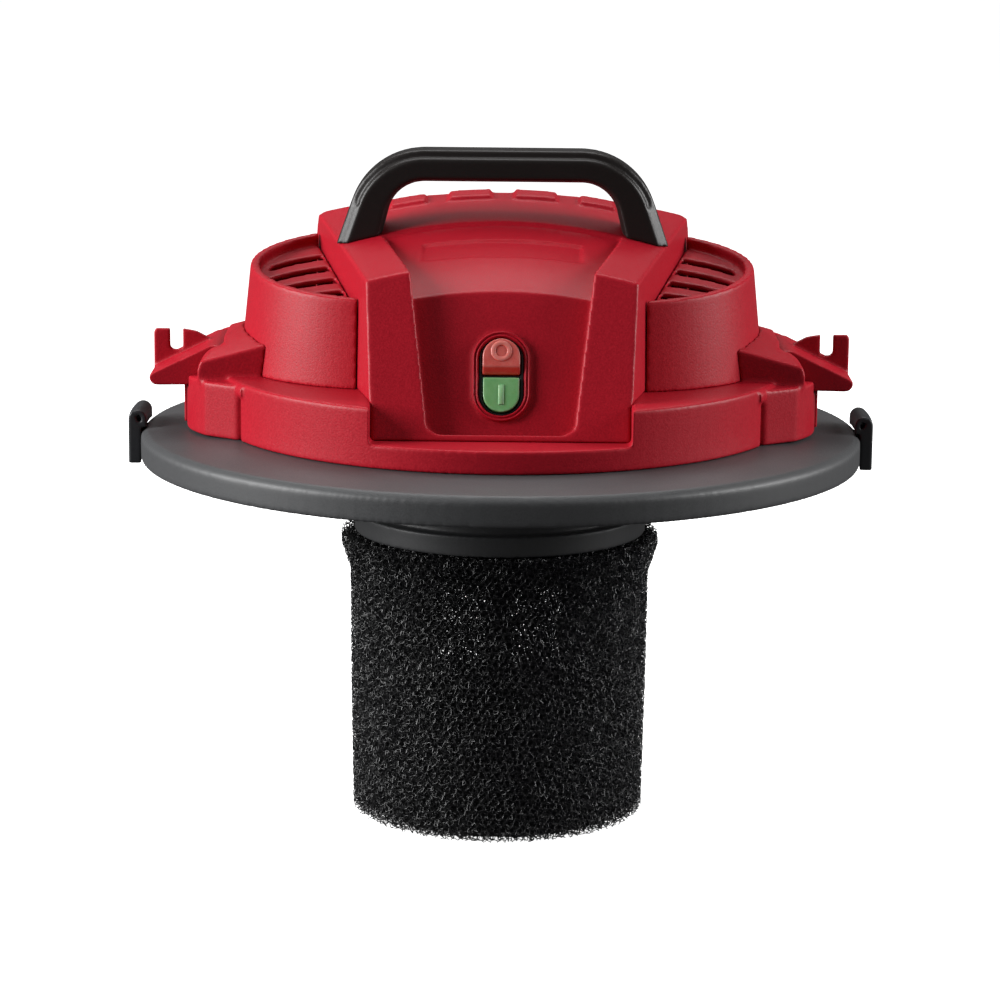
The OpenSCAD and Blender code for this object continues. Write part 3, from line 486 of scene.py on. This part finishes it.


# The edge gain of each grained finish sets how light its painted edge highlight is.
RED = GrainedPlastic(
    "red_plastic", (0.35, 0.006, 0.016), roughness=0.42, grain=0.8 * MM, grain_depth=0.09 * MM,
    specular=0.2, edge_highlight_gain=1.18
)
CHARCOAL = GrainedPlastic(
    "charcoal_plastic", (0.045, 0.046, 0.048), roughness=0.5, grain=0.6 * MM, grain_depth=0.03 * MM, edge_highlight_gain=1.5
)
CATCH = GrainedPlastic("catch_plastic", (0.022, 0.023, 0.026), roughness=0.42, grain=0.5 * MM, grain_depth=0.015 * MM)
HANDLE = GrainedPlastic(
    "handle_plastic", (0.008, 0.006, 0.0055), roughness=0.4, grain=0.55 * MM, grain_depth=0.03 * MM,
    specular=0.3, edge_highlight_gain=2.4
)
SWITCH_BLACK = SatinPlastic("switch_black", (0.012, 0.012, 0.012), roughness=0.22, clear=0.4)
OFF_RED = ButtonPlastic("off_red", (0.5, 0.06, 0.05), haze_and_edge_highlight=(0.62, 0.2, 0.17), underside_light_and_shade=(0.75, 0.03, 0.01))
ON_GREEN = ButtonPlastic("on_green", (0.12, 0.33, 0.11), haze_and_edge_highlight=(0.26, 0.48, 0.25), underside_light_and_shade=(0.05, 0.22, 0.06))
RUBBER = Rubber("rubber", (0.02, 0.02, 0.021))
FOAM = FoamStrand("foam", (0.011, 0.011, 0.012))
SCREW_STEEL = Metal("screw_steel", (0.55, 0.56, 0.58), polish=Polish.TURNED, roughness=0.3)
SHEET_STEEL = Metal("sheet_steel", (0.6, 0.61, 0.63), polish=Polish.PRESSED, roughness=0.34)
CAST_METAL = Metal("cast_aluminium", (0.66, 0.66, 0.67), polish=Polish.CAST, roughness=0.5)
LAMINATION = Metal("lamination_steel", (0.28, 0.28, 0.3), polish=Polish.TURNED, roughness=0.48)
BRASS = Metal("brass_part", (0.75, 0.56, 0.22), polish=Polish.PRESSED, roughness=0.3)
COPPER = Winding("copper_wire", (0.66, 0.27, 0.1))
CARBON = SatinPlastic("carbon", (0.03, 0.03, 0.032), roughness=0.55)
FLOAT = SatinPlastic("float_plastic", (0.035, 0.035, 0.037), roughness=0.4)
TERMINAL = SatinPlastic("terminal_plastic", (0.68, 0.68, 0.62), roughness=0.4)
CAPACITOR = SatinPlastic("capacitor_film", (0.6, 0.46, 0.08), roughness=0.3, clear=0.5)


class Wardrobe:
    """Makes each finish's material once and puts it on pieces."""

    def __init__(self) -> None:
        """Starts with no materials."""
        self._made: dict[Finish, bpy.types.Material] = {}

    def dress(self, piece: bpy.types.Object, finish: Finish) -> None:
        """Gives a piece its finish.

        Args:
            piece: The object to dress.
            finish: The finish that it gets.
        """
        if finish not in self._made:
            self._made[finish] = finish.build()
        piece.data.materials.clear()
        piece.data.materials.append(self._made[finish])


# ---- meshes ----


def link(piece: bpy.types.Object) -> bpy.types.Object:
    """Puts an object in the scene.

    Args:
        piece: The object.

    Returns:
        The same object.
    """
    bpy.context.scene.collection.objects.link(piece)
    return piece


def keep_modifiers(piece: bpy.types.Object) -> None:
    """Turns a piece's modifiers into its final mesh.

    Args:
        piece: The piece whose mesh is replaced.
    """
    seen = piece.evaluated_get(bpy.context.evaluated_depsgraph_get())
    mesh = bpy.data.meshes.new_from_object(seen)
    piece.modifiers.clear()
    piece.data = mesh
    mesh.shade_smooth()


def softened(node: str, name: str, voxel: float, steps: int) -> bpy.types.Object:
    """A copy of a CAD node whose edges are rounded as a mould rounds them.

    Args:
        node: The CAD node's name.
        name: The new piece's name.
        voxel: Width of the new mesh's faces.
        steps: Number of smoothing steps; more steps give rounder edges.

    Returns:
        The new piece.
    """
    mesh = frame["nodes"][node].data.copy()
    shape = bmesh.new()
    shape.from_mesh(mesh)
    bmesh.ops.remove_doubles(shape, verts=shape.verts, dist=0.001 * MM)
    shape.to_mesh(mesh)
    shape.free()
    piece = link(bpy.data.objects.new(name, mesh))
    remesh = piece.modifiers.new("voxels", "REMESH")
    remesh.mode = "VOXEL"
    remesh.voxel_size = voxel
    smooth = piece.modifiers.new("round_edges", "SMOOTH")
    smooth.factor = 0.5
    smooth.iterations = steps
    keep_modifiers(piece)
    return piece


def rounded_loop(half_width: float, half_height: float, corner: float, level: float, steps: int = 10) -> np.ndarray:
    """Points round a rectangle with round corners.

    Args:
        half_width: Half of its width.
        half_height: Half of its height.
        corner: Radius of its corners. A circle or a slot is all corner.
        level: Height of the loop.
        steps: Points on each corner.

    Returns:
        The points, counter-clockwise.
    """
    turn = (np.arange(4 * steps) + 0.5) / steps * math.pi / 2
    side = np.sign(np.stack([np.cos(turn), np.sin(turn)], 1))
    middle = side * [half_width - corner, half_height - corner]
    flat = middle + corner * np.stack([np.cos(turn), np.sin(turn)], 1)
    return np.column_stack([flat, np.full(len(flat), level)])


def lofted(name: str, loops: list[np.ndarray], capped: bool, place: Matrix) -> bpy.types.Object:
    """A skin through closed loops of equally many points.

    Args:
        name: The new object's name.
        loops: The loops, from the outside up and inwards.
        capped: Whether the last loop is closed with a face.
        place: Where the loops' own frame lies.

    Returns:
        The new object.
    """
    count = len(loops[0])
    faces = [
        (k * count + i, k * count + (i + 1) % count, (k + 1) * count + (i + 1) % count, (k + 1) * count + i)
        for k in range(len(loops) - 1)
        for i in range(count)
    ]
    if capped:
        faces.append(tuple(range((len(loops) - 1) * count, len(loops) * count)))
    mesh = bpy.data.meshes.new(name)
    points = [place @ Vector(point) for point in np.concatenate(loops)]
    mesh.from_pydata(points, [], faces)
    mesh.shade_smooth()
    return link(bpy.data.objects.new(name, mesh))


def stand_in(piece: bpy.types.Object, node: str, finish: Finish, wardrobe: Wardrobe) -> None:
    """Makes a piece take a CAD node's place.

    Args:
        piece: The new piece.
        node: The CAD node that it stands for.
        finish: The piece's finish.
        wardrobe: Where the materials come from.
    """
    wardrobe.dress(piece, finish)
    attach(piece, frame["nodes"][node]["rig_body"])
    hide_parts(node)
    log.info("%s stands for %s, %d faces", piece.name, node, len(piece.data.polygons))


def centre_of(node: str) -> Vector:
    """The middle of a CAD node's box.

    Args:
        node: The CAD node's name.

    Returns:
        The middle point.
    """
    low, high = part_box(node)
    return (low + high) / 2


# ---- sub-assemblies ----


@dataclass
class Mouldings:
    """The red housings, the lid, the collar and the other moulded pieces that only need rounded edges."""

    large_voxel: float = 0.72 * MM
    lid_voxel: float = 1.1 * MM
    handle_voxel: float = 0.65 * MM
    small_voxel: float = 0.6 * MM
    tiny_voxel: float = 0.3 * MM

    def build(self, wardrobe: Wardrobe) -> None:
        """Makes and dresses every moulding.

        Args:
            wardrobe: Where the materials come from.
        """
        recipes = [
            ("lower_housing", self.large_voxel, 11, RED),
            ("vent_housing_left", self.large_voxel, 11, RED),
            ("vent_housing_right", self.large_voxel, 11, RED),
            ("top_cover", self.large_voxel, 11, RED),
            ("latch_left", self.small_voxel, 6, RED),
            ("latch_right", self.small_voxel, 6, RED),
            ("lid", self.lid_voxel, 4, CHARCOAL),
            ("filter_collar", self.large_voxel, 4, CHARCOAL),
            ("rim_catch_left", self.small_voxel, 4, CATCH),
            ("rim_catch_right", self.small_voxel, 4, CATCH),
            ("handle", self.handle_voxel, 6, HANDLE),
            ("switch_frame", self.tiny_voxel, 4, SWITCH_BLACK),
            ("blow_port", self.small_voxel, 5, CHARCOAL),
            ("cord_inlet", self.tiny_voxel, 5, RUBBER),
        ]
        for node, voxel, steps, finish in recipes:
            stand_in(softened(node, "moulded_" + node, voxel, steps), node, finish, wardrobe)


@dataclass
class PushButtons:
    """The two caps of the switch with their raised marks, and the ridged collar round them."""

    voxel: float = 0.3 * MM
    steps: int = 14
    lean: float = math.radians(21.4)
    mark_rise: float = 0.4 * MM
    mark_edge: float = 0.25 * MM
    ring_outer: float = 4.45 * MM
    ring_inner: float = 2.45 * MM
    ring_up: float = 0.6 * MM
    bar_width: float = 2.3 * MM
    bar_height: float = 8.6 * MM
    collar_width: float = 2.9 * MM
    collar_rise: float = 2.0 * MM
    collar_valley: float = 0.7 * MM
    collar_loops: int = 17
    collar_foot: float = 1.2 * MM
    collar_edge: float = 0.9 * MM
    collar_edge_share: float = 0.2
    frame_thick: float = 6.6 * MM
    frame_proud: float = 0.6 * MM
    face_gap: float = 0.05 * MM

    def build(self, wardrobe: Wardrobe) -> None:
        """Makes and dresses the caps, their marks and the collar.

        Args:
            wardrobe: Where the materials come from.
        """
        for node, finish in (("off_button", OFF_RED), ("on_button", ON_GREEN)):
            cap = softened(node, node + "_cap", self.voxel, self.steps)
            stand_in(cap, node, finish, wardrobe)
        for mark, node, finish in (
            (self.ring(), "off_button", OFF_RED),
            (self.bar(), "on_button", ON_GREEN),
            (self.collar(), "top_cover", RED),
        ):
            wardrobe.dress(mark, finish)
            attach(mark, frame["nodes"][node]["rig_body"])
            log.info("%s sits on %s", mark.name, node)

    def placed_on(self, node: str, up: float = 0.0) -> Matrix:
        """A frame on the outer face of a node, with Y up the face and Z outwards.

        Args:
            node: The CAD node.
            up: How far up the face the frame lies from its middle.

        Returns:
            The frame.
        """
        upward = Vector((0.0, math.sin(self.lean), math.cos(self.lean)))
        outward = Vector((0.0, -math.cos(self.lean), math.sin(self.lean)))
        places = np.array([v.co for v in frame["nodes"][node].data.vertices])
        depth = places @ np.array(outward)
        face = places[depth > depth.max() - self.face_gap]
        middle = Vector((face.min(0) + face.max(0)) / 2) + up * upward
        turned = Matrix((Vector((1.0, 0.0, 0.0)), upward, outward)).transposed().to_4x4()
        return Matrix.Translation(middle) @ turned

    def ring(self) -> bpy.types.Object:
        """The raised ring on the upper cap."""
        levels = (-self.mark_rise, self.mark_rise - self.mark_edge, self.mark_rise)
        outer_sizes = (self.ring_outer, self.ring_outer, self.ring_outer - self.mark_edge)
        inner_sizes = (self.ring_inner, self.ring_inner, self.ring_inner + self.mark_edge)
        outer = [rounded_loop(r, r, r, level) for r, level in zip(outer_sizes, levels, strict=True)]
        inner = [rounded_loop(r, r, r, level) for r, level in zip(inner_sizes, levels, strict=True)]
        return lofted("off_ring", outer + inner[::-1], False, self.placed_on("off_button", self.ring_up))

    def bar(self) -> bpy.types.Object:
        """The raised bar on the lower cap."""
        levels = (-self.mark_rise, self.mark_rise - self.mark_edge, self.mark_rise)
        loops = [
            rounded_loop(self.bar_width / 2 - inset, self.bar_height / 2 - inset, self.mark_edge, level)
            for inset, level in zip((0.0, 0.0, self.mark_edge / 2), levels, strict=True)
        ]
        return lofted("on_bar", loops, True, self.placed_on("on_button"))

    def collar(self) -> bpy.types.Object:
        """The collar round the switch: two ridges with a valley between them."""
        low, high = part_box("switch_frame")
        half_width = (high.x - low.x) / 2
        half_height = (high.z - low.z - self.frame_thick * math.sin(self.lean)) / math.cos(self.lean) / 2
        wide, tall = half_width + self.collar_width, half_height + self.collar_width
        loops = [rounded_loop(wide, tall, wide, -self.collar_foot)]
        for share in np.linspace(1.0, 0.0, self.collar_loops):
            out = share * self.collar_width
            wave = (1 + math.cos(4 * math.pi * share)) / 2
            near_edge = max(0.0, abs(2 * share - 1) - (1 - self.collar_edge_share))
            edge = self.collar_edge * near_edge / self.collar_edge_share
            level = self.collar_rise - wave * self.collar_valley - edge
            loops.append(rounded_loop(half_width + out, half_height + out, half_width + out, level))
        loops.append(rounded_loop(half_width, half_height, half_width, -self.collar_foot))
        base = self.placed_on("switch_frame") @ Matrix.Translation((0.0, 0.0, -self.frame_proud))
        return lofted("switch_collar", loops, False, base)


@dataclass
class FoamSleeve:
    """Open-cell foam, built strut by strut from a jittered foam lattice cut to the sleeve's shape."""

    cell: float = 4.0 * MM
    strut: float = 0.2 * MM
    core_strut: float = 0.29 * MM
    skin: float = 2.6 * MM
    jitter: float = 0.42
    repeat: int = 64
    turn: tuple[float, float, float] = (0.55, 0.35, 0.9)
    fill: float = 0.9
    sectors: int = 5
    seed: int = 7
    node: str = "foam_filter"
    sides: int = 3

    heights: np.ndarray = field(init=False)
    inner: np.ndarray = field(init=False)
    outer: np.ndarray = field(init=False)

    def __post_init__(self) -> None:
        """Reads the sleeve's profile from its CAD node."""
        places = np.array([v.co for v in frame["nodes"][self.node].data.vertices])
        radius = np.hypot(places[:, 0], places[:, 1])
        level = np.round(places[:, 2], 5)
        self.heights = np.unique(level)
        self.outer = np.array([radius[level == z].max() for z in self.heights])
        self.inner = np.full(len(self.heights), radius.min())

    def unit_struts(self) -> np.ndarray:
        """The struts of one lattice unit, in quarters of its side.

        Returns:
            Start and end of each strut, as whole numbers.
        """
        corners = {
            tuple(sign * size for sign, size in zip(signs, sizes, strict=True))
            for sizes in permutations((0, 1, 2))
            for signs in product((-1, 1), repeat=3)
        }
        found = {}
        for shift in (0, 2):
            for a, b in product(corners, repeat=2):
                if a < b and sum((p - q) ** 2 for p, q in zip(a, b, strict=True)) == 2:
                    start, end = np.array(a) + shift, np.array(b) + shift
                    middle = tuple((start + end) % 8)
                    found.setdefault(middle, (start, end))
        return np.array(list(found.values()))

    def struts(self) -> tuple[np.ndarray, np.ndarray]:
        """Both ends of every strut and its radius, in the part's frame.

        Returns:
            The end points, and the radii.
        """
        top = self.heights.max()
        reach = math.ceil(math.hypot(self.outer.max(), top / 2) / self.cell) + 1
        tilt = np.array(Euler(self.turn).to_matrix())
        raise_by = np.array([0.0, 0.0, top / 2])
        tiles = np.array(list(product(range(-reach, reach + 1), repeat=3)))
        middle = (tiles + 0.5) * self.cell @ tilt.T + raise_by
        radius = np.hypot(middle[:, 0], middle[:, 1])
        near = (radius > self.inner[0] - self.cell) & (radius < self.outer.max() + self.cell)
        near &= np.abs(middle[:, 2] - top / 2) < top / 2 + self.cell
        ends = (self.unit_struts()[None] + 4 * tiles[near][:, None, None]).reshape(-1, 2, 3)
        rng = np.random.default_rng(self.seed)
        table = rng.normal(size=(self.repeat, self.repeat, self.repeat, 3)) * self.jitter
        index = ends % self.repeat
        points = (ends + table[index[..., 0], index[..., 1], index[..., 2]]) / 4 * self.cell @ tilt.T + raise_by
        middle = points.mean(1)
        radius = np.hypot(middle[:, 0], middle[:, 1])
        depth = np.interp(middle[:, 2], self.heights, self.outer) - radius
        kept = (depth > 0) & (radius > self.inner[0]) & (middle[:, 2] > 0) & (middle[:, 2] < top)
        points, depth = points[kept], depth[kept]
        height = np.clip(points[..., 2], self.strut * 1.2, top - self.strut)
        reach_out = np.interp(height, self.heights, self.outer) - self.strut
        radius = np.hypot(points[..., 0], points[..., 1])
        share = np.clip(radius, self.inner[0] + self.core_strut, reach_out) / radius
        points = np.stack([points[..., 0] * share, points[..., 1] * share, height], -1)
        return points, np.where(depth > self.skin, self.core_strut, self.strut)

    def prisms(self, points: np.ndarray, thick: np.ndarray, name: str) -> bpy.types.Object:
        """One mesh with a thin prism for each strut.

        Args:
            points: Both ends of each strut.
            thick: Radius of each strut.
            name: The new object's name.

        Returns:
            The new object.
        """
        starts, ends = points[:, 0], points[:, 1]
        along = ends - starts
        length = np.linalg.norm(along, axis=1, keepdims=True)
        along = along / np.maximum(length, 1e-9)
        helper = np.where(np.abs(along[:, 2:3]) < 0.9, [[0.0, 0.0, 1.0]], [[1.0, 0.0, 0.0]])
        across = np.cross(along, helper)
        across /= np.linalg.norm(across, axis=1, keepdims=True)
        other = np.cross(along, across)
        turn = 2 * math.pi * np.arange(self.sides) / self.sides
        ring = across[:, None] * np.cos(turn)[:, None] + other[:, None] * np.sin(turn)[:, None]
        ring *= thick[:, None, None]
        places = np.concatenate([starts[:, None] + ring, ends[:, None] + ring], axis=1)
        first = np.arange(self.sides)
        second = (first + 1) % self.sides
        quads = np.stack([first, second, second + self.sides, first + self.sides], 1)
        count = len(starts)
        corners = quads[None] + 2 * self.sides * np.arange(count)[:, None, None]
        mesh = bpy.data.meshes.new(name)
        mesh.vertices.add(places.shape[0] * places.shape[1])
        mesh.vertices.foreach_set("co", places.ravel())
        mesh.loops.add(corners.size)
        mesh.loops.foreach_set("vertex_index", corners.ravel())
        mesh.polygons.add(count * self.sides)
        mesh.polygons.foreach_set("loop_start", np.arange(count * self.sides) * 4)
        mesh.update(calc_edges=True)
        mesh.shade_smooth()
        return link(bpy.data.objects.new(name, mesh))

    def build(self, wardrobe: Wardrobe) -> None:
        """Makes and dresses the sleeve.

        Args:
            wardrobe: Where the materials come from.
        """
        points, thick = self.struts()
        middle = points.mean(1)
        turn = np.arctan2(middle[:, 1], middle[:, 0]) / (2 * math.pi) + 0.5
        sector = np.minimum((turn * self.sectors).astype(int), self.sectors - 1)
        for k in range(self.sectors):
            mine = sector == k
            piece = self.prisms(points[mine], thick[mine], f"foam_sleeve_{k + 1}")
            wardrobe.dress(piece, FOAM)
            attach(piece, "foam_sleeve")
            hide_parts(self.node)
            log.info("%s, %d struts", piece.name, int(mine.sum()))


@dataclass
class Internals:
    """The carried-over CAD nodes, which keep their shapes and get their finishes."""

    finishes: dict[Finish, tuple[str, ...]] = field(default_factory=lambda: {
        CHARCOAL: ("filter_cage", "exhaust_duct", "cooling_fan"),
        FLOAT: ("float_ball",),
        RUBBER: ("float_seat_seal", "tank_gasket", "motor_gasket"),
        SCREW_STEEL: (
            "collar_screws", "lower_housing_screws", "cover_screws", "handle_screws", "motor_screws",
            "latch_pin_left", "latch_pin_right", "latch_spring_left", "latch_spring_right",
            "brush_springs", "motor_shaft", "fan_nut", "lower_bearing", "upper_bearing",
        ),
        SHEET_STEEL: ("fan_housing", "impeller"),
        CAST_METAL: ("lower_bracket", "upper_bracket"),
        LAMINATION: ("stator_core", "rotor_core"),
        COPPER: ("field_coils", "armature_windings", "commutator"),
        CARBON: ("carbon_brushes",),
        BRASS: ("brush_holders",),
        SWITCH_BLACK: ("switch_body",),
        TERMINAL: ("terminal_block",),
        CAPACITOR: ("suppressor_capacitor",),
    })

    def build(self, wardrobe: Wardrobe) -> None:
        """Dresses every carried-over node.

        Args:
            wardrobe: Where the materials come from.
        """
        for finish, nodes in self.finishes.items():
            for node in nodes:
                wardrobe.dress(frame["nodes"][node], finish)
                log.info("%s keeps its shape", node)


# ---- studio ----


@dataclass
class Softbox:
    """A large square lamp that faces the object."""

    name: str
    place: Place
    size: float
    power: float

    def build(self, target: Vector) -> None:
        """Hangs the lamp.

        Args:
            target: The point that it faces.
        """
        lamp = bpy.data.lights.new(self.name, "AREA")
        lamp.shape = "SQUARE"
        lamp.size = self.size
        lamp.energy = self.power
        hung = link(bpy.data.objects.new(self.name, lamp))
        hung.location = self.place
        hung.rotation_euler = (target - Vector(self.place)).to_track_quat("-Z", "Y").to_euler()


@dataclass
class Studio:
    """Pale floor, soft lamps and the camera."""

    camera_place: Place = (0.0, -1.5, 0.4468)
    camera_pitch: float = math.radians(11.55)
    camera_roll: float = 0.0101
    lens_mm: float = 122.76
    floor_size: float = 40.0
    floor_tone: float = 0.86
    floor_glow: float = 0.92
    sky: float = 0.1
    lamps: tuple[Softbox, ...] = (
        Softbox("left_softbox", (-1.5, -0.35, 0.75), 1.0, 54.0),
        Softbox("right_softbox", (1.6, -0.05, 0.8), 0.9, 35.0),
        Softbox("top_softbox", (-0.1, 0.6, 1.6), 1.2, 15.0),
    )

    def build(self) -> None:
        """Sets up the studio."""
        self._floor()
        self._sky()
        target = centre_of("top_cover")
        for lamp in self.lamps:
            lamp.build(target)
        self._camera()

    def _floor(self) -> None:
        """Lays the floor."""
        half = self.floor_size / 2
        mesh = bpy.data.meshes.new("floor")
        mesh.from_pydata([(-half, -half, 0), (half, -half, 0), (half, half, 0), (-half, half, 0)], [], [(0, 1, 2, 3)])
        floor = link(bpy.data.objects.new("floor", mesh))
        shader = Shader("floor")
        tone = (self.floor_tone,) * 3
        glow = {"Base Color": tone, "Roughness": 0.9, "Emission Color": (1.0, 1.0, 1.0)}
        glow["Emission Strength"] = self.floor_glow
        mesh.materials.append(shader.surface(glow))
        floor.visible_diffuse = False
        floor.visible_glossy = False

    def _sky(self) -> None:
        """Gives the room its even light."""
        world = bpy.data.worlds.new("room")
        world.use_nodes = True
        background = world.node_tree.nodes["Background"]
        background.inputs["Color"].default_value = (1.0, 1.0, 1.0, 1.0)
        background.inputs["Strength"].default_value = self.sky
        bpy.context.scene.world = world

    def _camera(self) -> None:
        """Places the camera."""
        lens = bpy.data.cameras.new("camera")
        lens.lens = self.lens_mm
        lens.sensor_width = 36.0
        camera = link(bpy.data.objects.new("camera", lens))
        tilt = Matrix.Rotation(math.pi / 2 - self.camera_pitch, 4, "X")
        roll = Matrix.Rotation(self.camera_roll, 4, "Z")
        camera.matrix_world = Matrix.Translation(self.camera_place) @ tilt @ roll
        bpy.context.scene.camera = camera
        bpy.context.scene.view_settings.view_transform = "Standard"


def main() -> None:
    """Builds the studio and every sub-assembly."""
    logging.basicConfig(level=logging.INFO, format="%(message)s")
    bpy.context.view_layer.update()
    wardrobe = Wardrobe()
    Studio().build()
    for assembly in (Internals(), Mouldings(), PushButtons(), FoamSleeve()):
        assembly.build(wardrobe)
        log.info("%s done", type(assembly).__name__)


if __name__ == "__main__":
    main()
